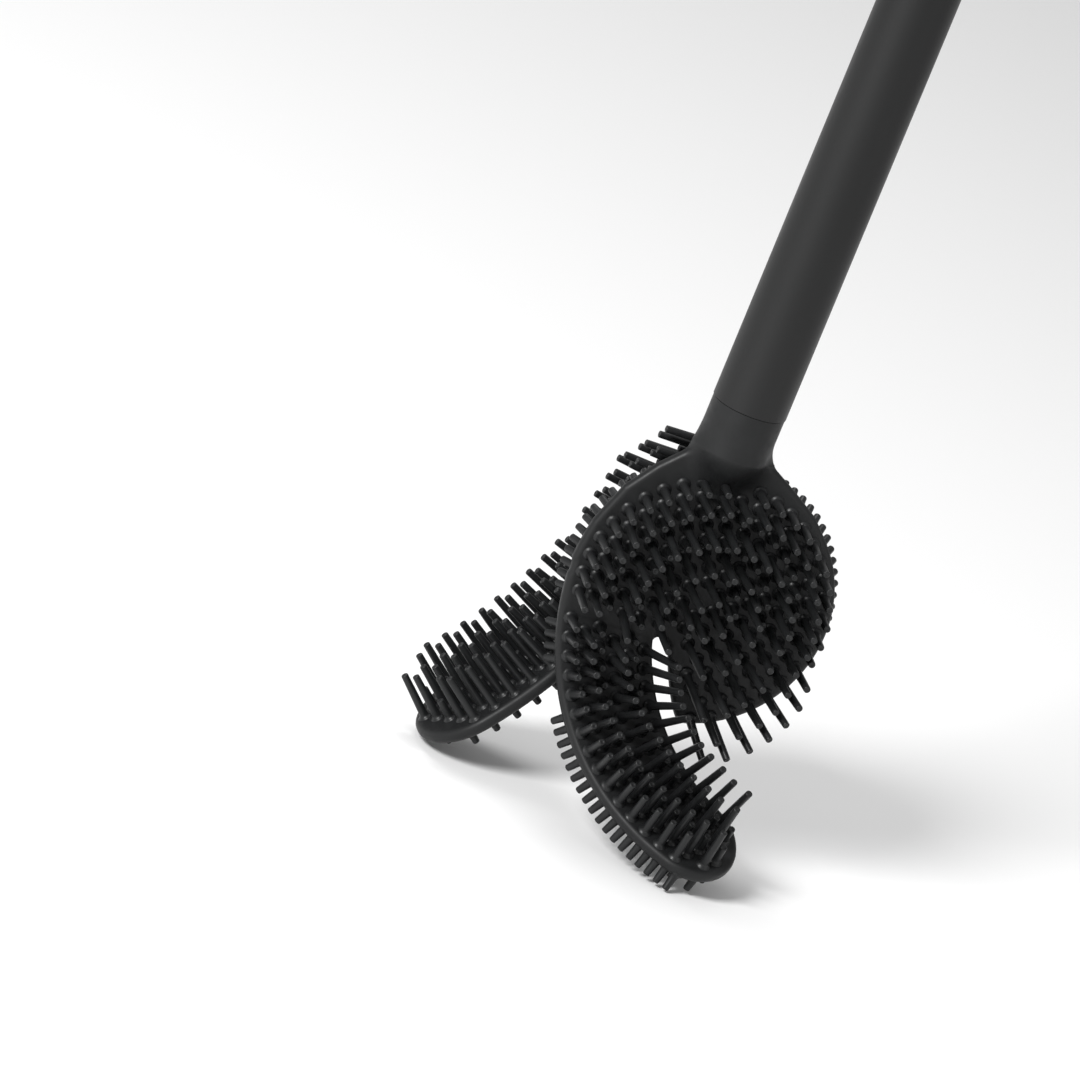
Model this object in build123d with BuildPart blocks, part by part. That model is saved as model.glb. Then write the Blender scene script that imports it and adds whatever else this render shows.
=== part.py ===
"""Toilet brush: a round screw-on handle and a soft rubber head with two bristled blades.

Origin: on the handle's axis, in the plane where the handle meets the head. +Z runs up the handle.
The front blade faces -Y: a round paddle that runs on, round a slit, into an arm curling forward.
The rear blade stands behind the neck, faces -X, and curls down and to the left.
"""
from build123d import *
from math import asin, cos, degrees, hypot, pi, radians, sin
import os

os.makedirs("parts", exist_ok=True)

# Handle
handle_radius = 10.0
handle_length = 275.0
handle_wall = 1.6
cap_thickness = 2.5
cap_plug_depth = 12.0

# Screw joint between handle and head
stud_radius = 5.5
stud_length = 18.0
socket_length = 26.0
thread_clearance = 0.08
insert_clearance = 0.05
insert_lip = 0.65  # what the seal's pocket leaves of the insert's wall
seal_clearance = 0.10
seam_gap = 0.2

# Neck of the head
neck_step = 0.2
neck_straight = 13.0
neck_taper = 12.0
neck_rubber = 3.3  # rubber round the core's plug

# Front blade: measured over its flattened face, x across and s down from the seam
plate_thickness = 3.4
paddle_radius = 35.4
paddle_x = 7.3
paddle_s = 53.0
left_shoulder = (-0.677, 0.874)  # shares of the paddle's radius from its middle, across and up
right_shoulder = (0.6, 0.837)
arm_centre_x = 65.4
arm_centre_s = 48.3
arm_outer_radius = 94.0
arm_width = 26.0
arm_tip_angle = 121.7
arm_start = 66.0
arm_curl_radius = 52.0
arm_curl_end = 85
slit_width = 3.6
joint_gap = 1.2

# Rear blade: y across and s down from the seam
rear_near_y = 8.0
rear_width = 35.0
rear_curl_start = 20.0
rear_curl_radius = 138.0
rear_arm_start = 60.0
rear_length = 131.0
rear_root_curl = 40
rear_shoulder = ((0.286, 2.5), (0.857, 20.0))  # share of the width, and depth below the straight neck

# Stiff core inside the head
core_thickness = 1.2
core_plate_radius = 24.0
core_bar_width = 11.0

# Bristles
bristle_root_radius = 1.15
bristle_tip_radius = 0.95
bristle_row_pitch = 3.9
bristle_pitch = 5.2
rear_bristle_pitch = 6.2
bristle_edge_margin = 3.2
bristle_tip_margin = 2.6
bristle_embed = 0.8
fringe_pitch = 2.9
fringe_lean = 1.1
arm_bristle_lean = 22.0
lobe_bristle_lean = 50.0
lobe_start = 60.0
rear_lane = 6.0
long_bristle = 17.5
edge_bristle = 9.5
middle_bristle = 13.5
short_bristle = 6.0
back_bristle = 5.0
under_bristle = 4.5

half_plate = plate_thickness / 2
bore_radius = handle_radius - handle_wall
neck_radius = handle_radius - neck_step
plug_radius = neck_radius - neck_rubber
insert_radius = bore_radius - insert_clearance
seal_pocket_radius = insert_radius - insert_lip
seal_section = (seal_pocket_radius - stud_radius - 2 * seal_clearance) / 2
arm_inner_radius = arm_outer_radius - arm_width
arm_middle_radius = arm_outer_radius - arm_width / 2
arm_tip_x = arm_centre_x + arm_middle_radius * cos(radians(arm_tip_angle))
arm_tip_s = arm_centre_s + arm_middle_radius * sin(radians(arm_tip_angle))
slit_inner_radius = arm_inner_radius - slit_width
rear_far_y = rear_near_y + rear_width
rear_middle_y = rear_near_y + rear_width / 2
rear_tip_radius = rear_width / 2
rear_tip_s = rear_length - rear_tip_radius


def paddle_point(x, s):
    """Middle of the flat paddle and its lobe at place (x, s), with its downward direction's angle."""
    return Vector(x, 0, -s), 0.0


def front_point(x, s):
    """Middle of the front arm at flattened place (x, s), with its downward direction's angle."""
    if s <= arm_start:
        return paddle_point(x, s)
    turn = (s - arm_start) / arm_curl_radius
    y = -arm_curl_radius * (1 - cos(turn))
    return Vector(x, y, -arm_start - arm_curl_radius * sin(turn)), turn


def rear_point(y, s):
    """Middle of the rear blade at flattened place (y, s), with its downward direction's angle."""
    if s <= rear_curl_start:
        return Vector(0, y, -s), 0.0
    turn = (s - rear_curl_start) / rear_curl_radius
    x = -rear_curl_radius * (1 - cos(turn))
    return Vector(x, y, -rear_curl_start - rear_curl_radius * sin(turn)), turn


def front_outline(x, s):
    """A flattened place on the front blade, as seen square from the front."""
    return (x, front_point(x, s)[0].Z)


def rear_outline(y, s):
    """A flattened place on the rear blade, as seen square from the side."""
    return (y, rear_point(y, s)[0].Z)


def from_paddle_middle(across, up):
    """A point of the flat paddle's front view, in shares of its radius from its middle."""
    return (paddle_x + across * paddle_radius, -paddle_s + up * paddle_radius)


def arm_arc(radius, angle):
    """A point at an angle on one of the arm's concentric arcs, flattened."""
    turn = radians(angle)
    return (arm_centre_x + radius * cos(turn), arm_centre_s + radius * sin(turn))


def arc_angle_at(radius, s):
    """The angle where one of the arm's concentric arcs passes level s."""
    return 180 - degrees(asin((s - arm_centre_s) / radius))


# ---------------------------------------------------------------- handle

with BuildPart() as handle_tube:
    with BuildSketch():
        Circle(handle_radius)
        Circle(bore_radius, mode=Mode.SUBTRACT)
    extrude(amount=handle_length - cap_thickness)
handle_tube.part.label = "handle_tube"
export_step(handle_tube.part, "parts/handle_tube.step")

with BuildPart() as end_cap:
    with BuildSketch(Plane.XY.offset(handle_length - cap_thickness)):
        Circle(handle_radius)
    extrude(amount=cap_thickness)
    fillet(end_cap.edges().group_by(Axis.Z)[-1], cap_thickness * 0.6)
    with BuildSketch(Plane.XY.offset(handle_length - cap_thickness)):
        Circle(insert_radius)
        Circle(insert_radius - handle_wall, mode=Mode.SUBTRACT)
    extrude(amount=-cap_plug_depth)
end_cap.part.label = "end_cap"
export_step(end_cap.part, "parts/end_cap.step")

seal_middle_radius = stud_radius + seal_clearance + seal_section
seal_pocket_depth = 2 * seal_section + seal_clearance
with BuildPart() as socket_insert:
    with BuildSketch():
        Circle(insert_radius)
        Circle(stud_radius + thread_clearance, mode=Mode.SUBTRACT)
    extrude(amount=socket_length)
    with BuildSketch():
        Circle(seal_pocket_radius)
    extrude(amount=seal_pocket_depth, mode=Mode.SUBTRACT)
socket_insert.part.label = "socket_insert"
export_step(socket_insert.part, "parts/socket_insert.step")

with BuildPart() as neck_seal:
    with BuildSketch(Plane.XZ) as seal_profile:
        with Locations((seal_middle_radius, seal_section + seal_clearance / 2)):
            Circle(seal_section)
    revolve(axis=Axis.Z)
neck_seal.part.label = "neck_seal"
export_step(neck_seal.part, "parts/neck_seal.step")

# ---------------------------------------------------------------- stiff core of the head

with BuildPart() as head_core:
    with BuildSketch(Plane.XY.offset(-neck_straight)):
        Circle(plug_radius)
    extrude(amount=neck_straight - seam_gap)
    with BuildSketch(Plane.XY.offset(-neck_straight)):
        Circle(stud_radius)
    extrude(amount=neck_straight + stud_length)
    chamfer(head_core.edges().group_by(Axis.Z)[-1], 1.0)
    with BuildSketch(Plane.XZ.offset(-core_thickness / 2)):
        with Locations((paddle_x, -paddle_s)):
            Circle(core_plate_radius)
        with Locations((0, -(neck_straight + paddle_s) / 2)):
            Rectangle(core_bar_width, paddle_s - neck_straight + 1)
    extrude(amount=core_thickness)
    with BuildSketch(Plane.XZ.offset(-core_thickness)):
        with Locations((paddle_x, -arm_start - paddle_radius)):
            Rectangle(2 * paddle_radius, 2 * paddle_radius + joint_gap + bristle_edge_margin)
    extrude(amount=2 * core_thickness, mode=Mode.SUBTRACT)
head_core.part.label = "head_core"
export_step(head_core.part, "parts/head_core.step")

# ---------------------------------------------------------------- rubber skins

split_level = arm_start - joint_gap / 2
arm_level = arm_start + joint_gap / 2
rear_split_level = rear_arm_start - joint_gap / 2
rear_arm_level = rear_arm_start + joint_gap / 2
reach = 4 * paddle_radius

with BuildSketch(Plane.XZ) as arm_zone:
    with Locations((paddle_x, -split_level - reach / 2)):
        Rectangle(reach, reach)
    with Locations((arm_centre_x, -arm_centre_s)):
        Circle(slit_inner_radius, mode=Mode.SUBTRACT)

with BuildSketch(Plane.XZ) as paddle_outline:
    with Locations((paddle_x, -paddle_s)):
        Circle(paddle_radius)
    with BuildLine():
        left = Spline(
            (-neck_radius, -neck_straight + 2),
            from_paddle_middle(*left_shoulder),
            (paddle_x - paddle_radius, -paddle_s),
            tangents=[(0, -1), (0, -1)],
        )
        right = Spline(
            (paddle_x + paddle_radius, -paddle_s),
            from_paddle_middle(*right_shoulder),
            (neck_radius, -neck_straight + 2),
            tangents=[(0, 1), (0, 1)],
        )
        Line(right @ 1, left @ 0)
        Line(left @ 1, right @ 0)
    make_face()
    add(arm_zone.sketch, mode=Mode.SUBTRACT)

with BuildPart() as rear_root:
    with BuildSketch(Plane.XZ.offset(-rear_far_y)):
        with BuildLine():
            for side in (-half_plate, half_plate):
                Line((side, 0), (side, -rear_curl_start))
                centre = (-rear_curl_radius, -rear_curl_start)
                CenterArc(centre, rear_curl_radius + side, 0, -rear_root_curl)
            Line((-half_plate, 0), (half_plate, 0))
            turn = radians(rear_root_curl)
            low = rear_point(0, rear_curl_start + turn * rear_curl_radius)[0]
            out = Vector(cos(turn), 0, -sin(turn)) * half_plate
            Line((low.X - out.X, low.Z - out.Z), (low.X + out.X, low.Z + out.Z))
        make_face()
    extrude(amount=rear_far_y)
    shoulder_points = [
        (rear_near_y + share * rear_width, -neck_straight - depth) for share, depth in rear_shoulder
    ]
    split_height = rear_outline(0, rear_split_level)[1]
    with BuildSketch(Plane.YZ.offset(-paddle_radius)):
        with BuildLine():
            Spline(
                (0, -neck_straight + 4),
                *shoulder_points,
                (rear_far_y, split_height),
                tangents=[(1, 0), (0, -1)],
            )
            Polyline(
                (rear_far_y, split_height),
                (rear_near_y, split_height),
                (rear_near_y, -neck_straight - neck_taper),
                (0, -neck_straight - neck_taper / 2),
                (0, -neck_straight + 4),
            )
        make_face()
    extrude(amount=2 * paddle_radius, mode=Mode.INTERSECT)

with BuildPart() as head_skin:
    with BuildSketch(Plane.XY.offset(-neck_straight)):
        Circle(neck_radius)
    extrude(amount=neck_straight - seam_gap)
    with BuildSketch(Plane.XY.offset(-neck_straight)):
        Circle(neck_radius)
    with BuildSketch(Plane.XY.offset(-neck_straight - neck_taper)):
        Circle(half_plate)
    loft()
    with BuildSketch(Plane.XZ.offset(-half_plate)):
        add(paddle_outline.sketch)
    extrude(amount=plate_thickness)
    add(rear_root.part)
    add(head_core.part, mode=Mode.SUBTRACT)
head_skin.part.label = "head_skin"
export_step(head_skin.part, "parts/head_skin.step")

with BuildPart() as front_arm_skin:
    with BuildSketch(Plane.YZ.offset(-paddle_radius)):
        with BuildLine():
            for side in (-half_plate, half_plate):
                centre = (-arm_curl_radius, -arm_start)
                CenterArc(centre, arm_curl_radius + side, 0, -arm_curl_end)
            Line((-half_plate, -arm_start), (half_plate, -arm_start))
            ends = [
                (
                    -arm_curl_radius + (arm_curl_radius + side) * cos(radians(arm_curl_end)),
                    -arm_start - (arm_curl_radius + side) * sin(radians(arm_curl_end)),
                )
                for side in (-half_plate, half_plate)
            ]
            Line(*ends)
        make_face()
    extrude(amount=3 * paddle_radius)
    with BuildSketch(Plane.XZ.offset(-paddle_radius)):
        with BuildLine():
            steps = 6
            outer_start = arc_angle_at(arm_outer_radius, arm_level)
            inner_start = arc_angle_at(arm_inner_radius, arm_level)
            edges_of_arm = []
            for radius, start in ((arm_outer_radius, outer_start), (arm_inner_radius, inner_start)):
                angles = [start + (arm_tip_angle - start) * i / steps for i in range(steps + 1)]
                edges_of_arm.append(Spline(*[front_outline(*arm_arc(radius, a)) for a in angles]))
            round_end = [
                front_outline(
                    arm_tip_x + arm_width / 2 * cos(radians(arm_tip_angle - turn)),
                    arm_tip_s + arm_width / 2 * sin(radians(arm_tip_angle - turn)),
                )
                for turn in range(0, 181, 30)
            ]
            Spline(*round_end)
            Line(edges_of_arm[0] @ 0, edges_of_arm[1] @ 0)
        make_face()
    extrude(amount=3 * paddle_radius, mode=Mode.INTERSECT)
front_arm_skin.part.label = "front_arm_skin"
export_step(front_arm_skin.part, "parts/front_arm_skin.step")

with BuildPart() as rear_arm_skin:
    with BuildSketch(Plane.XZ.offset(-rear_far_y)):
        sweep_angle = degrees((rear_length - rear_curl_start) / rear_curl_radius) + 4
        with BuildLine():
            for side in (-half_plate, half_plate):
                centre = (-rear_curl_radius, -rear_curl_start)
                CenterArc(centre, rear_curl_radius + side, 0, -sweep_angle)
            Line((-half_plate, -rear_curl_start), (half_plate, -rear_curl_start))
            low_ends = [
                (
                    -rear_curl_radius + (rear_curl_radius + side) * cos(radians(sweep_angle)),
                    -rear_curl_start - (rear_curl_radius + side) * sin(radians(sweep_angle)),
                )
                for side in (-half_plate, half_plate)
            ]
            Line(*low_ends)
        make_face()
    extrude(amount=rear_width)
    with BuildSketch(Plane.YZ.offset(-2 * paddle_radius)):
        with BuildLine():
            tip = [
                rear_outline(
                    rear_middle_y + rear_tip_radius * cos(radians(turn)),
                    rear_tip_s + rear_tip_radius * sin(radians(turn)),
                )
                for turn in range(0, 181, 30)
            ]
            Spline(*tip)
            level = rear_outline(0, rear_arm_level)[1]
            Polyline(tip[-1], (rear_near_y, level), (rear_far_y, level), tip[0])
        make_face()
    extrude(amount=3 * paddle_radius, mode=Mode.INTERSECT)
rear_arm_skin.part.label = "rear_arm_skin"
export_step(rear_arm_skin.part, "parts/rear_arm_skin.step")

# ---------------------------------------------------------------- bristles


def bristle_plane(foot, normal, direction):
    """The plane a bristle stands on: sunk into one face of a blade, and square to the bristle."""
    start = foot + direction * ((half_plate - bristle_embed) / direction.dot(normal))
    return Plane(origin=start, z_dir=direction)


def write_bristles(name, planes, length):
    """One node of equal tapered bristles, each standing on its own plane."""
    with BuildPart() as group:
        with Locations(*planes):
            Cone(
                bristle_root_radius,
                bristle_tip_radius,
                length + bristle_embed,
                align=(Align.CENTER, Align.CENTER, Align.MIN),
            )
    group.part.label = name
    export_step(group.part, f"parts/{name}.step")


def front_normal(turn):
    return Vector(0, -cos(turn), sin(turn))


def rear_normal(turn):
    return Vector(-cos(turn), 0, sin(turn))


def inward_angle(x, s):
    """Unit direction from the arm towards its centre of curvature, for a place in front of the curl."""
    turn = front_point(x, s)[1]
    dx, ds = arm_centre_x - x, arm_centre_s - s
    away = hypot(dx, ds)
    return Vector(1, 0, 0) * (dx / away) + Vector(0, -sin(turn), -cos(turn)) * (ds / away)


# Rings of bristles round the paddle's middle, each ring a list of flattened places
def paddle_rings(pitch):
    rings = []
    radius = paddle_radius - bristle_edge_margin
    while radius > bristle_row_pitch / 2:
        count = round(2 * pi * radius / pitch)
        shift = 0.5 * (len(rings) % 2)
        ring = []
        for i in range(count):
            angle = 2 * pi * (i + shift) / count
            ring.append((paddle_x + radius * cos(angle), paddle_s + radius * sin(angle)))
        rings.append(ring)
        radius -= bristle_row_pitch
    return rings


def on_paddle(x, s):
    """True where a bristle has rubber under it, clear of the slit and the arm."""
    beside_slit = hypot(x - arm_centre_x, s - arm_centre_s) < slit_inner_radius - bristle_tip_margin
    above_arm = s < arm_start - bristle_tip_margin
    return s > neck_straight + neck_taper * 2 / 3 and (above_arm or beside_slit)


def clear_of_neck(x, s):
    return hypot(x, max(0.0, s - neck_straight - neck_taper / 2)) > neck_radius


# Rows of bristles along the arm, concentric with its outer edge
def arm_rows(pitch):
    rows = []
    radius = arm_outer_radius - bristle_edge_margin
    while radius > arm_inner_radius + bristle_edge_margin / 2:
        step = degrees(pitch / radius)
        angle = arc_angle_at(radius, arm_start + bristle_tip_margin) - step * 0.5 * (len(rows) % 2)
        row = []
        while on_arm(*arm_arc(radius, angle), angle):
            row.append(arm_arc(radius, angle))
            angle -= step
        rows.append(row)
        radius -= bristle_row_pitch
    return rows


def on_arm(x, s, angle):
    """True up to the arm's round tip."""
    tip_reach = arm_width / 2 - bristle_tip_margin
    return angle > arm_tip_angle or hypot(x - arm_tip_x, s - arm_tip_s) < tip_reach


front_lengths = [edge_bristle, middle_bristle, short_bristle, long_bristle, short_bristle, long_bristle]


def row_length(row):
    """Bristles grow from the rim inwards, and short rows stand between the long ones."""
    if row < len(front_lengths):
        return front_lengths[row]
    return long_bristle if row % 2 else short_bristle


def paddle_bristle(row, x, s):
    """Length and plane of a paddle bristle: square to the face, fanning down over the lobe's rim."""
    share = min(1.0, max(0.0, (s - lobe_start) / (paddle_s + paddle_radius - lobe_start)))
    lean = radians(lobe_bristle_lean * share)
    dx, ds = x - paddle_x + paddle_radius / 3, s - paddle_s
    outward = Vector(dx, 0, -ds) / hypot(dx, ds)
    direction = front_normal(0) * cos(lean) + outward * sin(lean)
    length = middle_bristle if row == 0 and share > 0 else row_length(row)
    return length, bristle_plane(paddle_point(x, s)[0], front_normal(0), direction.normalized())


def arm_bristle(row, x, s):
    """Length and plane of an arm bristle: the rows by the slit lean over it, less and less to the tip."""
    foot, turn = front_point(x, s)
    along = (s - arm_start) / (arm_tip_s - arm_start)
    lean = radians(arm_bristle_lean * max(0.0, 1 - along) * max(0, row - 3) / 2)
    direction = front_normal(turn) * cos(lean) + inward_angle(x, s) * sin(lean)
    return row_length(row), bristle_plane(foot, front_normal(turn), direction.normalized())


length_names = {
    edge_bristle: "edge",
    middle_bristle: "middle",
    short_bristle: "short",
    long_bristle: "long",
}


def write_by_length(region, bristles):
    """One node for each length found in a list of (length, plane)."""
    by_length = {}
    for length, plane in bristles:
        by_length.setdefault(length, []).append(plane)
    for length, planes in by_length.items():
        write_bristles(f"{region}_{length_names[length]}_bristles", planes, length)


paddle_rows = [[place for place in ring if on_paddle(*place)] for ring in paddle_rings(bristle_pitch)]
write_by_length("paddle", [paddle_bristle(i, x, s) for i, row in enumerate(paddle_rows) for x, s in row])
write_by_length(
    "front_arm", [arm_bristle(i, x, s) for i, row in enumerate(arm_rows(bristle_pitch)) for x, s in row]
)


# Short bristles on the back of the front blade: a dense fringe at the rim, leaning outwards
def back_plane(point, dx, ds, rim_radius):
    """Plane of a back bristle: square to the plate inside, leaning outwards at the rim."""
    foot, turn = point
    away = hypot(dx, ds)
    lean = fringe_lean * max(0.0, 1 - (rim_radius - away) / (3 * bristle_row_pitch))
    down = Vector(0, -sin(turn), -cos(turn))
    outward = Vector(1, 0, 0) * (dx / away) + down * (ds / away)
    back = front_normal(turn) * -1
    return bristle_plane(foot, back, (back + outward * lean).normalized())


def clear_of_rear(x, s):
    """Back bristles leave a lane free for the rear blade."""
    blade_x = rear_point(0, s)[0].X
    return abs(x - blade_x) > rear_lane or s > arm_tip_s - arm_width


back_rings = paddle_rings(fringe_pitch)[:1] + paddle_rings(bristle_pitch)[2::2]
back_planes = [
    back_plane(paddle_point(x, s), x - paddle_x, s - paddle_s, paddle_radius)
    for ring in back_rings
    for x, s in ring
    if on_paddle(x, s) and clear_of_neck(x, s) and clear_of_rear(x, s)
]
write_bristles("paddle_back_bristles", back_planes, back_bristle)

back_rows = arm_rows(fringe_pitch)[:1] + arm_rows(bristle_pitch)[1:]
arm_back_planes = [
    back_plane(front_point(x, s), x - arm_centre_x, s - arm_centre_s, arm_outer_radius)
    for row in back_rows
    for x, s in row
    if clear_of_rear(x, s) and s > arm_start + bristle_pitch
]
write_bristles("front_arm_back_bristles", arm_back_planes, back_bristle)


# Straight columns of bristles down the rear blade, staggered from one column to the next
def rear_columns():
    columns = []
    y = rear_near_y + bristle_edge_margin
    while y < rear_far_y - bristle_edge_margin + 0.1:
        first = neck_straight + rear_bristle_pitch * (0.5 + 0.5 * (len(columns) % 2))
        count = int((rear_length - first) / rear_bristle_pitch) + 1
        columns.append([(y, first + i * rear_bristle_pitch) for i in range(count)])
        y += bristle_row_pitch
    return columns


def on_rear_root(y, s):
    """True under the rear blade's sloping shoulder and above the arm's root."""
    along = (y - rear_near_y) / rear_width
    shoulder = neck_straight + 2.2 + 27.0 * along**1.8
    return shoulder < s < rear_arm_start - bristle_tip_margin


def on_rear_arm(y, s):
    if s < rear_arm_start + bristle_tip_margin:
        return False
    return s < rear_tip_s or hypot(y - rear_middle_y, s - rear_tip_s) < rear_tip_radius - bristle_tip_margin


rear_lengths = [middle_bristle, middle_bristle, short_bristle, middle_bristle]
columns = rear_columns()
for region, keep in (("rear_root", on_rear_root), ("rear_arm", on_rear_arm)):
    upper, under = [], []
    for index, column in enumerate(columns):
        from_edge = min(index, len(columns) - 1 - index)
        for foot, turn in [rear_point(y, s) for y, s in column if keep(y, s)]:
            normal = rear_normal(turn)
            upper.append((rear_lengths[from_edge % 4], bristle_plane(foot, normal, normal)))
            if index % 2:
                under.append(bristle_plane(foot, normal * -1, normal * -1))
    write_by_length(region, upper)
    write_bristles(f"{region}_under_bristles", under, under_bristle)
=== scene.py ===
"""Looks of the toilet brush: matt handle, soft rubber head and its moulded bristles.

The head is one smooth rubber skin, worked out as a distance field in millimetres and meshed here, then cut
at the two arms' roots into three pieces. Bristles stand in the same rows as the CAD's.
"""
from math import asin, cos, degrees, hypot, pi, radians, sin

import bpy
import numpy as np
from mathutils import Matrix, Vector


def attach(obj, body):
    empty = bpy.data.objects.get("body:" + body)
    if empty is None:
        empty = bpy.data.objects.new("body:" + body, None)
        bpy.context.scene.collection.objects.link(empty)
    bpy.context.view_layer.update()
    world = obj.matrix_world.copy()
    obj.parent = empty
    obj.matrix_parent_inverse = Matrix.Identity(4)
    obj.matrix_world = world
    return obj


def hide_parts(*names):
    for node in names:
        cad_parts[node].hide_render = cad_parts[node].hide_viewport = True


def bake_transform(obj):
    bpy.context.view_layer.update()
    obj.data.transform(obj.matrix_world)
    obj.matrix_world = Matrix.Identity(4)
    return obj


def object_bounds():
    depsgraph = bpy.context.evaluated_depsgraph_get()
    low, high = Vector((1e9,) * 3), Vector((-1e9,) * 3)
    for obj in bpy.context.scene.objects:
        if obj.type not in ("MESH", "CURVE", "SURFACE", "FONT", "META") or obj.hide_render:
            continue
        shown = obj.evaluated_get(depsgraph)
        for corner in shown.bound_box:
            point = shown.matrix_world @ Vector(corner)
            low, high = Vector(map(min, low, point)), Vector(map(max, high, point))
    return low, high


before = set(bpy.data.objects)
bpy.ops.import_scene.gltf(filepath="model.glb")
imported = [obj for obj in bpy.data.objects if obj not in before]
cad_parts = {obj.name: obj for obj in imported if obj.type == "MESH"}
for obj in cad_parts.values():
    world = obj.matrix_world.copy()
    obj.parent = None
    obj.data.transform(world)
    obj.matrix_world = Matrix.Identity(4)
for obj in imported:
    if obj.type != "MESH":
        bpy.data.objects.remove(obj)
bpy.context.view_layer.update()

MM = 0.001

# ------------------------------------------------------------------ sizes, in millimetres
SEAM_GAP = 0.2
NECK_STRAIGHT = 13.0
NECK_RADIUS = 9.8
NECK_TAPER = 12.0
HALF_PLATE = 1.7
RIM_ROUND = 1.45
BACK_CROWN, CROWN_REACH = 1.3, 12
NECK_FILLET, REAR_FILLET, ARM_FILLET, SLIT_FILLET = 4.0, 0.8, 0.6, 1.4
PADDLE_RADIUS = 35.4
PADDLE_X, PADDLE_S = 7.3, 53.0
ARM_X, ARM_S = 65.4, 48.3
ARM_OUTER = 94.0
ARM_WIDTH = 26.0
ARM_TIP_ANGLE = 121.7
ARM_START = 66.0
ARM_CURL = 52.0
SLIT_WIDTH = 3.6
REAR_NEAR_Y = 8.0
REAR_WIDTH = 35.0
REAR_CURL_START = 20.0
REAR_CURL = 138.0
REAR_ARM_START = 60.0
REAR_LENGTH = 131.0
REAR_SHOULDER_Y, REAR_SHOULDER_S, REAR_SHOULDER_RADIUS = 5.0, 51.0, 38.0
NEAR_EDGE_START, NEAR_EDGE_RUN = 14.0, 22.0
ROOT_RADIUS, TIP_RADIUS = 1.15, 0.95
ROW_PITCH, PITCH, REAR_PITCH = 3.9, 5.2, 6.2
EDGE_MARGIN = 3.2
TIP_MARGIN = 2.6
FRINGE_PITCH, FRINGE_LEAN = 2.9, 1.1
ARM_LEAN, LOBE_LEAN, LOBE_START = 22.0, 50.0, 60.0
REAR_LANE = 6.0
EDGE, MIDDLE, SHORT, LONG, BACK, UNDER = 9.5, 13.5, 6.0, 17.5, 5.0, 4.5
# How far past an arm's root each outline runs, so that the two overlap there
PADDLE_OVERLAP, ARM_OVERLAP = 2.0, 9.0
REAR_ROOT_OVERLAP, REAR_ARM_OVERLAP = 2.0, 8.0
SLIT_DROP = 0.6  # how far below the arm's root the slit starts
# The upper limit of the rear blade's bristles: its start, its fall across the blade and its bend
REAR_ROWS_START, REAR_ROWS_FALL, REAR_ROWS_BEND = 2.2, 27.0, 1.8
GRID = 0.62

ARM_INNER = ARM_OUTER - ARM_WIDTH
ARM_MIDDLE = ARM_OUTER - ARM_WIDTH / 2
TIP_X = ARM_X + ARM_MIDDLE * cos(radians(ARM_TIP_ANGLE))
TIP_S = ARM_S + ARM_MIDDLE * sin(radians(ARM_TIP_ANGLE))
SLIT_INNER = ARM_INNER - SLIT_WIDTH
REAR_FAR_Y = REAR_NEAR_Y + REAR_WIDTH
REAR_MIDDLE_Y = REAR_NEAR_Y + REAR_WIDTH / 2
REAR_TIP_S = REAR_LENGTH - REAR_WIDTH / 2


# ------------------------------------------------------------------ the blades' curved middle surfaces
def front_point(x, s):
    """Middle of the front blade at flattened place (x, s), and how far it has curled there."""
    if s <= ARM_START:
        return Vector((x, 0, -s)), 0.0
    turn = (s - ARM_START) / ARM_CURL
    return Vector((x, -ARM_CURL * (1 - cos(turn)), -ARM_START - ARM_CURL * sin(turn))), turn


def rear_point(y, s):
    """Middle of the rear blade at flattened place (y, s), and how far it has curled there."""
    if s <= REAR_CURL_START:
        return Vector((0, y, -s)), 0.0
    turn = (s - REAR_CURL_START) / REAR_CURL
    return Vector((-REAR_CURL * (1 - cos(turn)), y, -REAR_CURL_START - REAR_CURL * sin(turn))), turn


def front_normal(turn):
    return Vector((0, -cos(turn), sin(turn)))


def rear_normal(turn):
    return Vector((-cos(turn), 0, sin(turn)))


def uncurl_front(y, z):
    """Flattened s and height above the front blade's middle, for points of the curled part."""
    radius = np.hypot(y + ARM_CURL, z + ARM_START)
    turn = np.arctan2(-(z + ARM_START), y + ARM_CURL)
    flat = z > -ARM_START
    return np.where(flat, -z, ARM_START + ARM_CURL * turn), np.where(flat, -y, ARM_CURL - radius)


def uncurl_rear(x, z):
    """Flattened s and height above the rear blade's middle."""
    radius = np.hypot(x + REAR_CURL, z + REAR_CURL_START)
    turn = np.arctan2(-(z + REAR_CURL_START), x + REAR_CURL)
    flat = z > -REAR_CURL_START
    return np.where(flat, -z, REAR_CURL_START + REAR_CURL * turn), np.where(flat, -x, REAR_CURL - radius)


# ------------------------------------------------------------------ distance fields
def soft_min(a, b, k):
    """Union of two distance fields with a fillet of about size k between them."""
    h = np.clip(0.5 + 0.5 * (b - a) / k, 0, 1)
    return b + (a - b) * h - k * h * (1 - h)


def soft_max(a, b, k):
    return -soft_min(-a, -b, k)


def plate(outline, height):
    """A plate with a rounded rim and a slightly crowned back, from its outline distance and height."""
    crown = BACK_CROWN * np.clip(-outline / CROWN_REACH, 0, 1) ** 0.7
    middle = np.where(height < 0, height + crown * np.clip(-height / HALF_PLATE, 0, 1), height)
    across = outline + RIM_ROUND
    through = np.abs(middle) - (HALF_PLATE - RIM_ROUND)
    outside = np.hypot(np.maximum(across, 0), np.maximum(through, 0))
    return outside + np.minimum(np.maximum(across, through), 0) - RIM_ROUND


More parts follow.
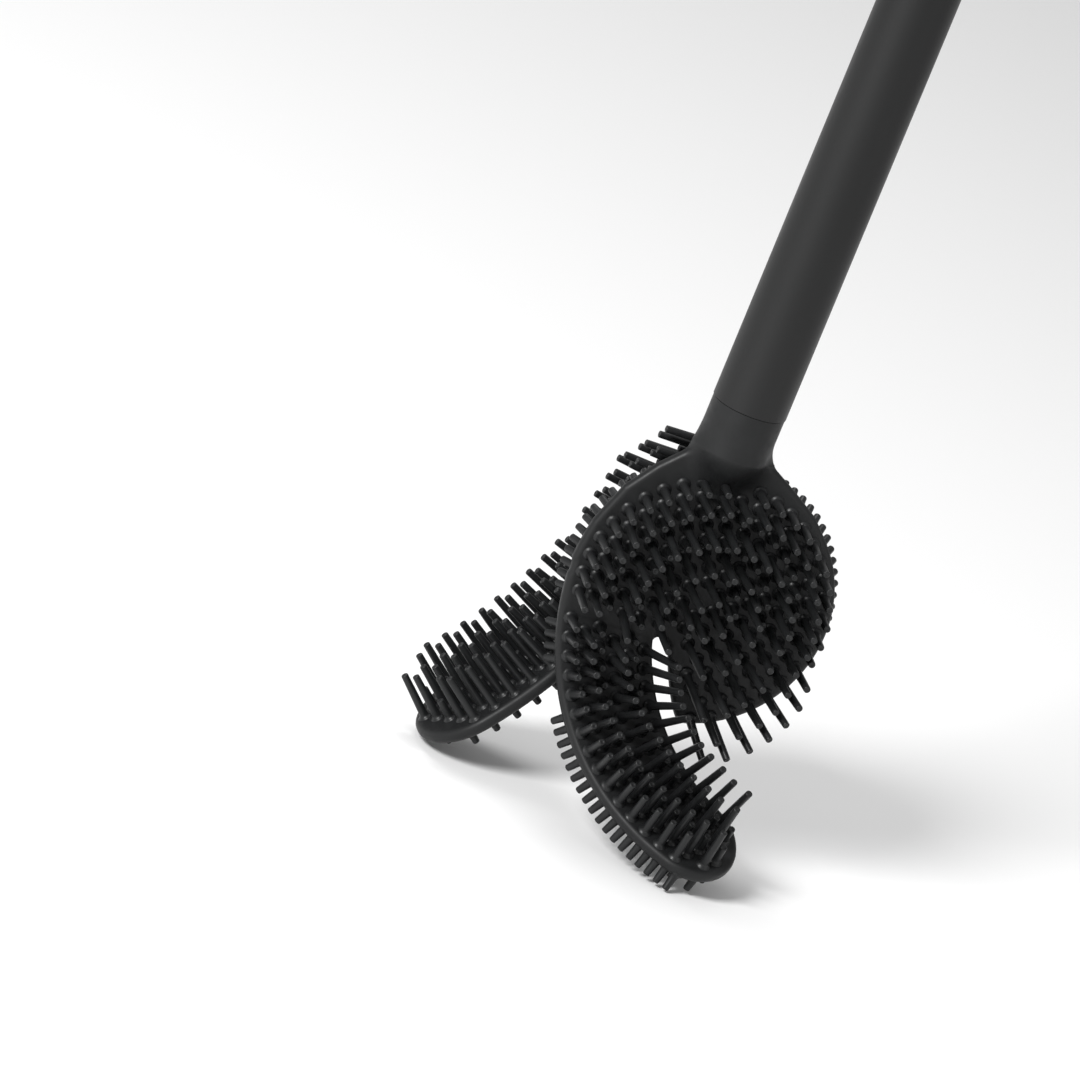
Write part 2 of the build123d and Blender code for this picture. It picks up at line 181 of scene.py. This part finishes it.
def polygon_field(px, py, corners):
    """Signed distance in a plane to a polygon, negative inside."""
    nearest = np.full(px.shape, 1e9, np.float32)
    sign = np.ones(px.shape, np.float32)
    for (ax, ay), (bx, by) in zip(corners, corners[1:] + corners[:1]):
        ex, ey = bx - ax, by - ay
        wx, wy = px - ax, py - ay
        t = np.clip((wx * ex + wy * ey) / (ex * ex + ey * ey), 0, 1)
        nearest = np.minimum(nearest, (wx - ex * t) ** 2 + (wy - ey * t) ** 2)
        above_a, below_b = py >= ay, py < by
        turns = ex * wy > ey * wx
        flips = (above_a & below_b & turns) | (~above_a & ~below_b & ~turns)
        sign = np.where(flips, -sign, sign)
    return sign * np.sqrt(nearest)


def paddle_outline(x, s):
    """Disc, shoulders and lobe of the paddle, with the slit and the arm's zone taken away."""
    disc = np.hypot(x - PADDLE_X, s - PADDLE_S) - PADDLE_RADIUS
    left = [(-7.0, 9.0), (-10.5, 15.6), (-17.0, 22.3), (-23.0, 30.6), (-27.0, 42.0), (-28.0, 53.0)]
    right = [(40.0, 53.0), (37.0, 36.0), (27.8, 23.6), (20.0, 18.2), (12.5, 13.8), (7.0, 9.0)]
    body = soft_min(disc, polygon_field(x, s, left + right), 2.0)
    to_lobe = np.hypot(x - ARM_X, s - ARM_S) - SLIT_INNER
    below = (ARM_START + PADDLE_OVERLAP) - s
    keep = soft_min(to_lobe, -below, 0.5)
    return soft_max(body, keep, 2.5)


def arm_outline(x, s):
    """The sickle arm: a band of an annulus with a round tip."""
    radius = np.hypot(x - ARM_X, s - ARM_S)
    turn = np.degrees(np.arctan2(s - ARM_S, x - ARM_X))
    band = np.abs(radius - ARM_MIDDLE) - ARM_WIDTH / 2
    along = (ARM_TIP_ANGLE - turn) * np.pi / 180 * ARM_MIDDLE
    cap = np.hypot(x - TIP_X, s - TIP_S) - ARM_WIDTH / 2
    sector = np.where(along > 0, cap, band)
    return soft_max(sector, (ARM_START - ARM_OVERLAP) - s, 1.0)


def slit_field(x, s):
    """Inside of the slit between arm and lobe, with a round top end."""
    radius = np.hypot(x - ARM_X, s - ARM_S)
    band = np.abs(radius - (ARM_INNER - SLIT_WIDTH / 2)) - SLIT_WIDTH / 2
    return soft_max(band, (ARM_START + SLIT_DROP) - s, 2.0)


def rear_outline(y, s):
    """Shoulder, strap and round tip of the rear blade."""
    shoulder = np.hypot(y - REAR_SHOULDER_Y, s - REAR_SHOULDER_S) - REAR_SHOULDER_RADIUS
    strap = np.abs(y - REAR_MIDDLE_Y) - REAR_WIDTH / 2
    cap = np.hypot(y - REAR_MIDDLE_Y, s - REAR_TIP_S) - REAR_WIDTH / 2
    strap = np.where(s > REAR_TIP_S, cap, strap)
    near_edge = REAR_NEAR_Y * np.clip((s - NEAR_EDGE_START) / NEAR_EDGE_RUN, 0, 1) ** 1.6 - y
    root_end = s - (REAR_ARM_START + REAR_ROOT_OVERLAP)
    root = soft_max(soft_max(shoulder, near_edge, 2.0), root_end, 0.5)
    strap = soft_max(strap, (REAR_ARM_START - REAR_ARM_OVERLAP) - s, 0.5)
    return soft_min(root, strap, 3.0)


def neck_field(x, y, z):
    """The round neck, tapering away between the blades, and running on above the seam's level."""
    radius = np.hypot(x, y)
    taper = np.clip((-z - NECK_STRAIGHT) / NECK_TAPER, 0, 1)
    limit = NECK_RADIUS - (NECK_RADIUS - HALF_PLATE) * taper ** 1.25
    lean = 1.0 / np.sqrt(1 + ((NECK_RADIUS - HALF_PLATE) / NECK_TAPER) ** 2)
    side = (radius - limit) * np.where(z < -NECK_STRAIGHT, lean, 1.0)
    return np.maximum(side, -z - (NECK_STRAIGHT + NECK_TAPER))


def head_field(x, y, z):
    """The whole rubber skin of the head."""
    arm_s, arm_height = uncurl_front(y, z)
    face = (x.shape[0], 1, z.shape[2])
    flat_x, flat_z = np.broadcast_to(x, face), np.broadcast_to(z, face)
    paddle = plate(paddle_outline(flat_x, -flat_z), -y + 0 * x)
    arm_flat = arm_outline(x + 0 * arm_s, arm_s + 0 * x)
    slit = slit_field(x + 0 * arm_s, arm_s + 0 * x)
    arm = plate(arm_flat, arm_height + 0 * x)
    front = soft_min(paddle, arm, ARM_FILLET)
    front = soft_max(front, -slit, SLIT_FILLET)
    rear_s, rear_height = uncurl_rear(x, z)
    rear = plate(rear_outline(y + 0 * rear_s, rear_s + 0 * y), rear_height + 0 * y)
    neck = neck_field(x, y, z)
    whole = soft_min(soft_min(front, neck, NECK_FILLET), rear, REAR_FILLET)
    near_neck = soft_min(rear, neck, NECK_FILLET)
    return np.minimum(whole, near_neck)


def sample(field, lo, counts):
    """The field's values on a regular grid."""
    x, y, z = (lo[i] + GRID * np.arange(counts[i], dtype=np.float32) for i in range(3))
    return field(x[:, None, None], y[None, :, None], z[None, None, :])


def surface_net(values, lo):
    """Vertices and quads of the surface where the values change sign."""
    inside = values < 0
    shape = np.array(values.shape) - 1
    total, count = np.zeros((*shape, 3), np.float64), np.zeros(tuple(shape), np.int32)
    corners = [(i, j, k) for i in (0, 1) for j in (0, 1) for k in (0, 1)]
    cut = lambda c: tuple(slice(c[a], c[a] + shape[a]) for a in range(3))
    for first in corners:
        for axis in range(3):
            if first[axis]:
                continue
            second = tuple(c + (a == axis) for a, c in enumerate(first))
            va, vb = values[cut(first)], values[cut(second)]
            crossing = inside[cut(first)] != inside[cut(second)]
            t = np.where(crossing, va / np.where(crossing, va - vb, 1), 0)
            for a in range(3):
                total[..., a] += np.where(crossing, first[a] + (t if a == axis else 0), 0)
            count += crossing
    active = count > 0
    index = np.full(tuple(shape), -1)
    index[active] = np.arange(active.sum())
    base = np.argwhere(active)
    points = (base + total[active] / count[active][:, None]) * GRID + np.array(lo)
    quads = []
    for axis in range(3):
        a, b = [k for k in range(3) if k != axis]
        low, high = [slice(1, -1)] * 3, [slice(1, -1)] * 3
        low[axis], high[axis] = slice(0, -1), slice(1, None)
        change = inside[tuple(low)] != inside[tuple(high)]
        where = np.argwhere(change)
        where[:, a] += 1
        where[:, b] += 1
        ring = []
        for da, db in ((0, 0), (1, 0), (1, 1), (0, 1)):
            cell = where.copy()
            cell[:, a] -= da
            cell[:, b] -= db
            ring.append(index[tuple(cell.T)])
        quad = np.stack(ring, 1)
        starts_inside = inside[tuple(where.T)]
        flip = starts_inside if axis != 1 else ~starts_inside
        quad[~flip] = quad[~flip][:, ::-1]
        quads.append(quad)
    return points, np.concatenate(quads)


def slope(points, field):
    """The field's gradient at single points, from small steps either way."""
    step = 0.05
    sides = [[field_at(field, shifted(points, i, way)) for way in (step, -step)] for i in range(3)]
    return np.stack([ahead - behind for ahead, behind in sides], 1) / (2 * step)


def settle(points, field, rounds=3):
    """Moves mesh points onto the field's zero, and returns them with the field's outward direction."""
    for _ in range(rounds):
        gradient = slope(points, field)
        size = np.maximum((gradient**2).sum(1), 0.05)
        move = np.clip(field_at(field, points) / size, -GRID / 2, GRID / 2)
        points = points - gradient * move[:, None]
    gradient = slope(points, field)
    return points, gradient / np.maximum(np.linalg.norm(gradient, axis=1), 1e-6)[:, None]


def shifted(points, axis, step):
    moved = points.copy()
    moved[:, axis] += step
    return moved


def field_at(field, points):
    """The field at single points."""
    x, y, z = (points[:, i][:, None, None] for i in range(3))
    return field(x, y, z)[:, 0, 0]


# ------------------------------------------------------------------ meshes
def mesh_object(name, points, faces, normals=None):
    """A smooth-shaded mesh in metres from points in millimetres."""
    mesh = bpy.data.meshes.new(name)
    mesh.from_pydata((np.asarray(points) * MM).tolist(), [], [list(map(int, f)) for f in faces])
    mesh.validate()
    mesh.polygons.foreach_set("use_smooth", [True] * len(mesh.polygons))
    if normals is not None:
        mesh.normals_split_custom_set_from_vertices([tuple(n) for n in normals])
    mesh.update()
    obj = bpy.data.objects.new(name, mesh)
    bpy.context.scene.collection.objects.link(obj)
    return obj


def build_head_mesh():
    """Points, faces and outward directions of the whole rubber skin, open at the grid's top."""
    lo = (-46.0, -48.0, -124.0)
    hi = (46.0, 48.0, 2.5)
    counts = [int((b - a) / GRID) + 1 for a, b in zip(lo, hi)]
    values = sample(head_field, lo, counts)
    points, quads = surface_net(values, lo)
    points, outward = settle(points, head_field)
    return points, quads, outward


def region_of_faces(points, quads):
    """0 for the head's fixed part, 1 for the front arm's piece, 2 for the rear arm's piece."""
    centre = points[quads].mean(axis=1)
    x, y, z = centre.T
    front_s, front_height = uncurl_front(y, z)
    rear_s, rear_height = uncurl_rear(x, z)
    on_rear = (np.abs(rear_height) < HALF_PLATE + 2.5) & (y > REAR_NEAR_Y - 3.5)
    left_of_slit = np.hypot(x - ARM_X, front_s - ARM_S) > ARM_INNER - SLIT_WIDTH / 2
    front = (front_s > ARM_START - 6) & left_of_slit & ~on_rear & (np.abs(front_height) < 5)
    rear = (rear_s > REAR_ARM_START - 8) & on_rear
    return np.where(front, 1, 0) + np.where(rear & ~front, 2, 0)


def cap_loops(points, faces, outward):
    """Closes a piece's open edge loops with flat fans and returns the new lists."""
    edges = {}
    for face in faces:
        for a, b in zip(face, np.roll(face, -1)):
            edges[(int(a), int(b))] = True
    follow = {b: a for a, b in edges if (b, a) not in edges}
    points, outward, faces = list(points), list(outward), [tuple(map(int, f)) for f in faces]
    while follow:
        start = next(iter(follow))
        loop, here = [start], follow.pop(start)
        while here != start and here in follow:
            loop.append(here)
            here = follow.pop(here)
        if len(loop) < 3:
            continue
        ring = np.array([points[i] for i in loop])
        centre = ring.mean(axis=0)
        spin = np.cross(ring - centre, np.roll(ring, -1, axis=0) - centre).sum(axis=0)
        normal = spin / max(np.linalg.norm(spin), 1e-9)
        base = len(points)
        points.extend(list(ring) + [centre])
        outward.extend([normal] * (len(loop) + 1))
        hub = base + len(loop)
        for i in range(len(loop)):
            faces.append((base + i, base + (i + 1) % len(loop), hub))
    return points, faces, outward


def make_skin():
    """The head's rubber in three pieces: fixed part, front arm and rear arm."""
    points, quads, outward = build_head_mesh()
    region = region_of_faces(points, quads)
    keep = points[quads][..., 2].mean(axis=1) < -SEAM_GAP
    made = []
    for part, name in enumerate(("head_rubber_skin", "front_arm_rubber_skin", "rear_arm_rubber_skin")):
        faces = quads[(region == part) & keep]
        used, local = np.unique(faces, return_inverse=True)
        local = local.reshape(faces.shape)
        part_points, part_outward = points[used].copy(), outward[used].copy()
        if part == 0:
            rim = part_points[:, 2] > -SEAM_GAP - GRID
            edge_count = np.zeros(len(used), int)
            np.add.at(edge_count, local.ravel(), 1)
            top = rim & (edge_count < 4)
            part_points[top, 2] = -SEAM_GAP
            reach = np.hypot(part_points[top, 0], part_points[top, 1])
            part_points[top, :2] *= (NECK_RADIUS / reach)[:, None]
        closed = cap_loops(part_points, local, part_outward)
        made.append(mesh_object(name, closed[0], closed[1], closed[2]))
    return made


BRISTLE_SIDES = 14


def bristle_profile(length):
    """Radius and height up one bristle: flared foot, slender taper, rounded rim and dimpled tip."""
    foot = [(ROOT_RADIUS + 0.85 * (1 - t) ** 2.2, 0.05 + 1.1 * t) for t in (0.0, 0.2, 0.45, 0.7, 1.0)]
    narrowing = TIP_RADIUS - ROOT_RADIUS
    rise = [(ROOT_RADIUS + narrowing * t, 1.1 + (length - 1.5) * t) for t in (0.35, 0.7, 1.0)]
    rim = [(TIP_RADIUS - 0.3 * (1 - cos(t)), length - 0.32 + 0.3 * sin(t)) for t in (0.45, 0.95, pi / 2)]
    return [(foot[0][0], -0.7)] + foot + rise + rim + [(0.42, length - 0.1), (0.22, length - 0.2)]


def bristle_frame(direction):
    """Two directions square to a bristle."""
    side = Vector((0, 0, 1)) if abs(direction.z) < 0.8 else Vector((1, 0, 0))
    across = direction.cross(side).normalized()
    return across, direction.cross(across).normalized()


def make_bristles(name, places, length, seed):
    """All bristles of one kind as one mesh, each a little bent and turned by its own share."""
    random = np.random.default_rng(seed)
    profile = bristle_profile(length)
    points, faces = [], []
    for foot, direction in places:
        across, along = bristle_frame(direction)
        bend = random.normal(0, 0.012, 2)
        spin = random.uniform(0, 2 * pi)
        base = len(points)
        for radius, height in profile:
            share = max(0.0, height) / length
            sway = (across * bend[0] + along * bend[1]) * (length * share * share)
            middle = foot + direction * height + sway
            for i in range(BRISTLE_SIDES):
                angle = spin + 2 * pi * i / BRISTLE_SIDES
                points.append(tuple(middle + (across * cos(angle) + along * sin(angle)) * radius))
        rows = len(profile)
        for row in range(rows - 1):
            for i in range(BRISTLE_SIDES):
                j = (i + 1) % BRISTLE_SIDES
                low, high = base + row * BRISTLE_SIDES, base + (row + 1) * BRISTLE_SIDES
                faces.append((low + i, low + j, high + j, high + i))
        top = base + (rows - 1) * BRISTLE_SIDES
        faces.append(tuple(top + i for i in range(BRISTLE_SIDES)))
        faces.append(tuple(base + i for i in reversed(range(BRISTLE_SIDES))))
    return mesh_object(name, points, faces)


# ------------------------------------------------------------------ rows of bristles
def arm_arc(radius, angle):
    turn = radians(angle)
    return ARM_X + radius * cos(turn), ARM_S + radius * sin(turn)


def arc_angle_at(radius, s):
    return 180 - degrees(asin((s - ARM_S) / radius))


def paddle_rings(pitch):
    """Rings of flattened places round the paddle's middle."""
    rings = []
    radius = PADDLE_RADIUS - EDGE_MARGIN
    while radius > ROW_PITCH / 2:
        count = round(2 * pi * radius / pitch)
        shift = 0.5 * (len(rings) % 2)
        angles = [2 * pi * (i + shift) / count for i in range(count)]
        rings.append([(PADDLE_X + radius * cos(a), PADDLE_S + radius * sin(a)) for a in angles])
        radius -= ROW_PITCH
    return rings


def on_paddle(x, s):
    beside_slit = hypot(x - ARM_X, s - ARM_S) < SLIT_INNER - TIP_MARGIN
    return s > NECK_STRAIGHT + NECK_TAPER * 2 / 3 and (s < ARM_START - TIP_MARGIN or beside_slit)


def clear_of_neck(x, s):
    return hypot(x, max(0.0, s - NECK_STRAIGHT - NECK_TAPER / 2)) > NECK_RADIUS


def arm_rows(pitch):
    """Rows of flattened places along the arm, concentric with its outer edge."""
    rows = []
    radius = ARM_OUTER - EDGE_MARGIN
    while radius > ARM_INNER + EDGE_MARGIN / 2:
        step = degrees(pitch / radius)
        angle = arc_angle_at(radius, ARM_START + TIP_MARGIN) - step * 0.5 * (len(rows) % 2)
        row = []
        while on_arm(*arm_arc(radius, angle), angle):
            row.append(arm_arc(radius, angle))
            angle -= step
        rows.append(row)
        radius -= ROW_PITCH
    return rows


def on_arm(x, s, angle):
    return angle > ARM_TIP_ANGLE or hypot(x - TIP_X, s - TIP_S) < ARM_WIDTH / 2 - TIP_MARGIN


def row_length(row):
    lengths = [EDGE, MIDDLE, SHORT, LONG, SHORT, LONG]
    return lengths[row] if row < len(lengths) else (LONG if row % 2 else SHORT)


def on_face(foot, normal, direction):
    """Where a bristle leaves one face of a blade, and its direction."""
    return foot + direction * (HALF_PLATE / direction.dot(normal)), direction


def inward(x, s):
    """Unit direction along the front blade towards the arm's centre of curvature."""
    turn = front_point(x, s)[1]
    dx, ds = ARM_X - x, ARM_S - s
    away = hypot(dx, ds)
    return Vector((1, 0, 0)) * (dx / away) + Vector((0, -sin(turn), -cos(turn))) * (ds / away)


def paddle_bristle(row, x, s):
    """Length, foot and direction: square to the face, fanning down over the lobe's rim."""
    share = min(1.0, max(0.0, (s - LOBE_START) / (PADDLE_S + PADDLE_RADIUS - LOBE_START)))
    lean = radians(LOBE_LEAN * share)
    dx, ds = x - PADDLE_X + PADDLE_RADIUS / 3, s - PADDLE_S
    outward = Vector((dx, 0, -ds)) / hypot(dx, ds)
    direction = Vector((0, -cos(lean), 0)) + outward * sin(lean)
    length = MIDDLE if row == 0 and share > 0 else row_length(row)
    return length, *on_face(Vector((x, 0, -s)), front_normal(0), direction.normalized())


def arm_bristle(row, x, s):
    """Length, foot and direction: the rows by the slit lean over it, less and less to the tip."""
    foot, turn = front_point(x, s)
    along = (s - ARM_START) / (TIP_S - ARM_START)
    lean = radians(ARM_LEAN * max(0.0, 1 - along) * max(0, row - 3) / 2)
    direction = front_normal(turn) * cos(lean) + inward(x, s) * sin(lean)
    return row_length(row), *on_face(foot, front_normal(turn), direction.normalized())


def back_bristle(point, dx, ds, rim_radius):
    """Foot and direction of a back bristle: square to the plate inside, leaning outwards at the rim."""
    foot, turn = point
    away = hypot(dx, ds)
    lean = FRINGE_LEAN * max(0.0, 1 - (rim_radius - away) / (3 * ROW_PITCH))
    down = Vector((0, -sin(turn), -cos(turn)))
    outward = Vector((1, 0, 0)) * (dx / away) + down * (ds / away)
    back = -front_normal(turn)
    return on_face(foot, back, (outward * lean + back).normalized())


def clear_of_rear(x, s):
    return abs(x - rear_point(0, s)[0].x) > REAR_LANE or s > TIP_S - ARM_WIDTH


def rear_columns():
    """Straight staggered columns of flattened places down the rear blade."""
    columns = []
    y = REAR_NEAR_Y + EDGE_MARGIN
    while y < REAR_FAR_Y - EDGE_MARGIN + 0.1:
        first = NECK_STRAIGHT + REAR_PITCH * (0.5 + 0.5 * (len(columns) % 2))
        count = int((REAR_LENGTH - first) / REAR_PITCH) + 1
        columns.append([(y, first + i * REAR_PITCH) for i in range(count)])
        y += ROW_PITCH
    return columns


def on_rear_root(y, s):
    along = (y - REAR_NEAR_Y) / REAR_WIDTH
    shoulder = NECK_STRAIGHT + REAR_ROWS_START + REAR_ROWS_FALL * along**REAR_ROWS_BEND
    return shoulder < s < REAR_ARM_START - TIP_MARGIN


def on_rear_arm(y, s):
    if s < REAR_ARM_START + TIP_MARGIN:
        return False
    return s < REAR_TIP_S or hypot(y - REAR_MIDDLE_Y, s - REAR_TIP_S) < REAR_WIDTH / 2 - TIP_MARGIN


LENGTH_NAMES = {EDGE: "edge", MIDDLE: "middle", SHORT: "short", LONG: "long"}


def by_length(region, body, bristles):
    """Groups of one region's bristles by length: CAD node, body, length and places."""
    kinds = {}
    for length, foot, direction in bristles:
        kinds.setdefault(length, []).append((foot, direction))
    return [(f"{region}_{LENGTH_NAMES[k]}_bristles", body, k, places) for k, places in kinds.items()]


def bristle_groups():
    """Every kind of bristle: CAD node, body, length and places."""
    rings, rows = paddle_rings(PITCH), arm_rows(PITCH)
    face = [paddle_bristle(i, x, s) for i, ring in enumerate(rings) for x, s in ring if on_paddle(x, s)]
    groups = by_length("paddle", "head", face)
    arm = [arm_bristle(i, x, s) for i, row in enumerate(rows) for x, s in row]
    groups += by_length("front_arm", "front_arm", arm)
    back = [
        back_bristle((Vector((x, 0, -s)), 0.0), x - PADDLE_X, s - PADDLE_S, PADDLE_RADIUS)
        for ring in paddle_rings(FRINGE_PITCH)[:1] + rings[2::2] for x, s in ring
        if on_paddle(x, s) and clear_of_neck(x, s) and clear_of_rear(x, s)
    ]
    groups.append(("paddle_back_bristles", "head", BACK, back))
    arm_back = [
        back_bristle(front_point(x, s), x - ARM_X, s - ARM_S, ARM_OUTER)
        for row in arm_rows(FRINGE_PITCH)[:1] + rows[1:] for x, s in row
        if clear_of_rear(x, s) and s > ARM_START + PITCH
    ]
    groups.append(("front_arm_back_bristles", "front_arm", BACK, arm_back))
    columns = rear_columns()
    for region, body, keep in (("rear_root", "head", on_rear_root), ("rear_arm", "rear_arm", on_rear_arm)):
        upper, under = [], []
        for index, column in enumerate(columns):
            from_edge = min(index, len(columns) - 1 - index)
            length = [MIDDLE, MIDDLE, SHORT, MIDDLE][from_edge % 4]
            for foot, turn in [rear_point(y, s) for y, s in column if keep(y, s)]:
                normal = rear_normal(turn)
                upper.append((length, *on_face(foot, normal, normal)))
                if index % 2:
                    under.append(on_face(foot, -normal, -normal))
        groups += by_length(region, body, upper)
        groups.append((f"{region}_under_bristles", body, UNDER, under))
    return groups


# ------------------------------------------------------------------ materials
def new_material(name, base, roughness, specular=0.5):
    """A material with a Principled shader, its node tree and its colour and roughness ready for detail."""
    material = bpy.data.materials.new(name)
    material.use_nodes = True
    shader = material.node_tree.nodes["Principled BSDF"]
    shader.inputs["Base Color"].default_value = (*base, 1)
    shader.inputs["Roughness"].default_value = roughness
    shader.inputs["Specular IOR Level"].default_value = specular
    return material, material.node_tree, shader


def noise(tree, scale, detail=4.0, stretch=(1, 1, 1)):
    """A noise texture laid on object coordinates, in turns per metre."""
    place = tree.nodes.new("ShaderNodeTexCoord")
    mapping = tree.nodes.new("ShaderNodeMapping")
    mapping.inputs["Scale"].default_value = stretch
    texture = tree.nodes.new("ShaderNodeTexNoise")
    texture.inputs["Scale"].default_value = scale
    texture.inputs["Detail"].default_value = detail
    tree.links.new(place.outputs["Object"], mapping.inputs["Vector"])
    tree.links.new(mapping.outputs["Vector"], texture.inputs["Vector"])
    return texture.outputs["Fac"]


def spread(tree, value, low, high, start=0.3, end=0.7):
    """Maps a value between start and end onto low to high."""
    remap = tree.nodes.new("ShaderNodeMapRange")
    remap.inputs["From Min"].default_value = start
    remap.inputs["From Max"].default_value = end
    remap.inputs["To Min"].default_value = low
    remap.inputs["To Max"].default_value = high
    tree.links.new(value, remap.inputs["Value"])
    return remap.outputs["Result"]


def mix_colours(tree, share, first, second):
    """Blends two colours by a value from 0 to 1."""
    mix = tree.nodes.new("ShaderNodeMix")
    mix.data_type = "RGBA"
    mix.inputs["A"].default_value = (*first, 1)
    mix.inputs["B"].default_value = (*second, 1)
    tree.links.new(share, mix.inputs["Factor"])
    return mix.outputs["Result"]


def bump(tree, shader, height, strength, distance):
    node = tree.nodes.new("ShaderNodeBump")
    node.inputs["Strength"].default_value = strength
    node.inputs["Distance"].default_value = distance
    tree.links.new(height, node.inputs["Height"])
    tree.links.new(node.outputs["Normal"], shader.inputs["Normal"])


def rubber(name, dark, light, roughness):
    """Matt moulded rubber: faint mottling of the colour, slightly uneven gloss and a very fine grain."""
    material, tree, shader = new_material(name, dark, roughness, 0.3)
    mottling = spread(tree, noise(tree, 160), 0, 1)
    colour = mix_colours(tree, mottling, dark, light)
    tree.links.new(colour, shader.inputs["Base Color"])
    gloss = spread(tree, noise(tree, 420), roughness - 0.05, roughness + 0.07)
    tree.links.new(gloss, shader.inputs["Roughness"])
    bump(tree, shader, noise(tree, 5200, 2.0), 0.16, 0.00012)
    return material


def handle_finish(name, dark, light, roughness):
    """Soft-touch coating: slow colour changes, faint marks in its gloss down the rod and a fine grain."""
    material, tree, shader = new_material(name, dark, roughness, 0.32)
    slow = spread(tree, noise(tree, 30, 3.0, (1, 1, 0.35)), 0, 1)
    tree.links.new(mix_colours(tree, slow, dark, light), shader.inputs["Base Color"])
    marks = spread(tree, noise(tree, 260, 6.0, (1, 1, 0.12)), roughness - 0.04, roughness + 0.06)
    tree.links.new(marks, shader.inputs["Roughness"])
    bump(tree, shader, noise(tree, 6500, 2.0), 0.10, 0.0001)
    return material


def moulded_plastic(name, dark, light):
    """Nylon of the inner parts: flow marks down the part and a light grain."""
    material, tree, shader = new_material(name, dark, 0.5)
    flow = spread(tree, noise(tree, 120, 5.0, (1, 1, 0.3)), 0, 1)
    tree.links.new(mix_colours(tree, flow, dark, light), shader.inputs["Base Color"])
    bump(tree, shader, noise(tree, 3000, 3.0), 0.12, 0.0001)
    return material


def finish_with(obj, material):
    obj.data.materials.clear()
    obj.data.materials.append(material)


# ------------------------------------------------------------------ the object
# Skin and bristles are one moulded rubber: the skin's colour is set darker as painted shade between the
# bristles
skin_rubber_painted_shade = rubber("skin_rubber_painted_shade", (0.0055, 0.0058, 0.0061), (0.008, 0.0084, 0.0088), 0.48)
# The bristles' colour is set lighter than the skin's as painted light on them, though both are the same
# rubber
bristle_rubber = rubber("bristle_rubber", (0.0085, 0.0088, 0.0092), (0.0125, 0.013, 0.0135), 0.38)
seal_material = rubber("seal_rubber", (0.006, 0.006, 0.006), (0.009, 0.009, 0.009), 0.45)
handle_material = handle_finish("handle_coating", (0.005, 0.0051, 0.0052), (0.0072, 0.0073, 0.0075), 0.42)
inner_material = moulded_plastic("inner_nylon", (0.045, 0.045, 0.048), (0.06, 0.06, 0.063))

node_materials = {
    "handle_tube": handle_material,
    "end_cap": handle_material,
    "socket_insert": inner_material,
    "head_core": inner_material,
    "neck_seal": seal_material,
}
for node, material in node_materials.items():
    finish_with(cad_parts[node], material)

head_skin, front_skin, rear_skin = make_skin()
for piece, node in ((head_skin, "head_skin"), (front_skin, "front_arm_skin"), (rear_skin, "rear_arm_skin")):
    finish_with(piece, skin_rubber_painted_shade)
    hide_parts(node)
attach(head_skin, "head")
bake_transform(front_skin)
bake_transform(rear_skin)

for seed, (node, body, length, places) in enumerate(bristle_groups()):
    piece = make_bristles("moulded_" + node, places, length, seed)
    finish_with(piece, bristle_rubber)
    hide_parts(node)
    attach(piece, body)

# ------------------------------------------------------------------ floor, light and camera
FLOOR_HALF_WIDTH, FLOOR_GAP = 6.0, 0.0005


def make_floor():
    """A wide pale floor just under the lowest bristle."""
    size = FLOOR_HALF_WIDTH
    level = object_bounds()[0].z - FLOOR_GAP
    mesh = bpy.data.meshes.new("floor")
    corners = [(-size, -size, level), (size, -size, level), (size, size, level), (-size, size, level)]
    mesh.from_pydata(corners, [], [(0, 1, 2, 3)])
    floor = bpy.data.objects.new("floor", mesh)
    bpy.context.scene.collection.objects.link(floor)
    finish_with(floor, new_material("pale_floor", (0.86, 0.86, 0.86), 0.6, 0.2)[0])


def area_light(name, place, target, size, power):
    light = bpy.data.lights.new(name, "AREA")
    light.shape = "DISK"
    light.size = size
    light.energy = power
    obj = bpy.data.objects.new(name, light)
    obj.location = place
    obj.rotation_euler = (Vector(target) - Vector(place)).to_track_quat("-Z", "Y").to_euler()
    bpy.context.scene.collection.objects.link(obj)


VIEW_AZIMUTH, VIEW_ELEVATION, VIEW_ROLL = radians(-16.0), radians(17.0), radians(22.3)
VIEW_DISTANCE = 2.2
VIEW_LENS = 286.0
AIM_SIDEWAYS, AIM_UPWARDS = -0.0367, -0.0523


def make_camera():
    """Seen from the front left and a little above, with a long lens and the handle leaning right."""
    sideways = Vector((cos(VIEW_AZIMUTH), sin(VIEW_AZIMUTH), 0))
    level = cos(VIEW_ELEVATION)
    towards = Vector((sin(VIEW_AZIMUTH) * level, -cos(VIEW_AZIMUTH) * level, sin(VIEW_ELEVATION)))
    upwards = towards.cross(sideways)
    centre = sideways * AIM_SIDEWAYS + upwards * AIM_UPWARDS
    right = sideways * cos(VIEW_ROLL) + upwards * sin(VIEW_ROLL)
    top = towards.cross(right)
    data = bpy.data.cameras.new("camera")
    data.lens = VIEW_LENS
    data.clip_end = 50
    camera = bpy.data.objects.new("camera", data)
    turn = Matrix((right, top, towards)).transposed()
    camera.matrix_world = Matrix.Translation(centre + towards * VIEW_DISTANCE) @ turn.to_4x4()
    bpy.context.scene.collection.objects.link(camera)
    bpy.context.scene.camera = camera


make_floor()
area_light("key", (-1.1, -0.9, 0.9), (0, 0, 0), 0.55, 36)
area_light("fill", (1.2, -1.2, 0.5), (0, 0, 0), 1.2, 3)
area_light("top", (-0.2, 0.5, 1.5), (0, 0, -0.05), 0.8, 10)
world = bpy.data.worlds.new("studio")
world.use_nodes = True
background = world.node_tree.nodes["Background"].inputs
background["Color"].default_value = (1, 1, 1, 1)
background["Strength"].default_value = 0.42
bpy.context.scene.world = world
bpy.context.scene.view_settings.view_transform = "Standard"
make_camera()
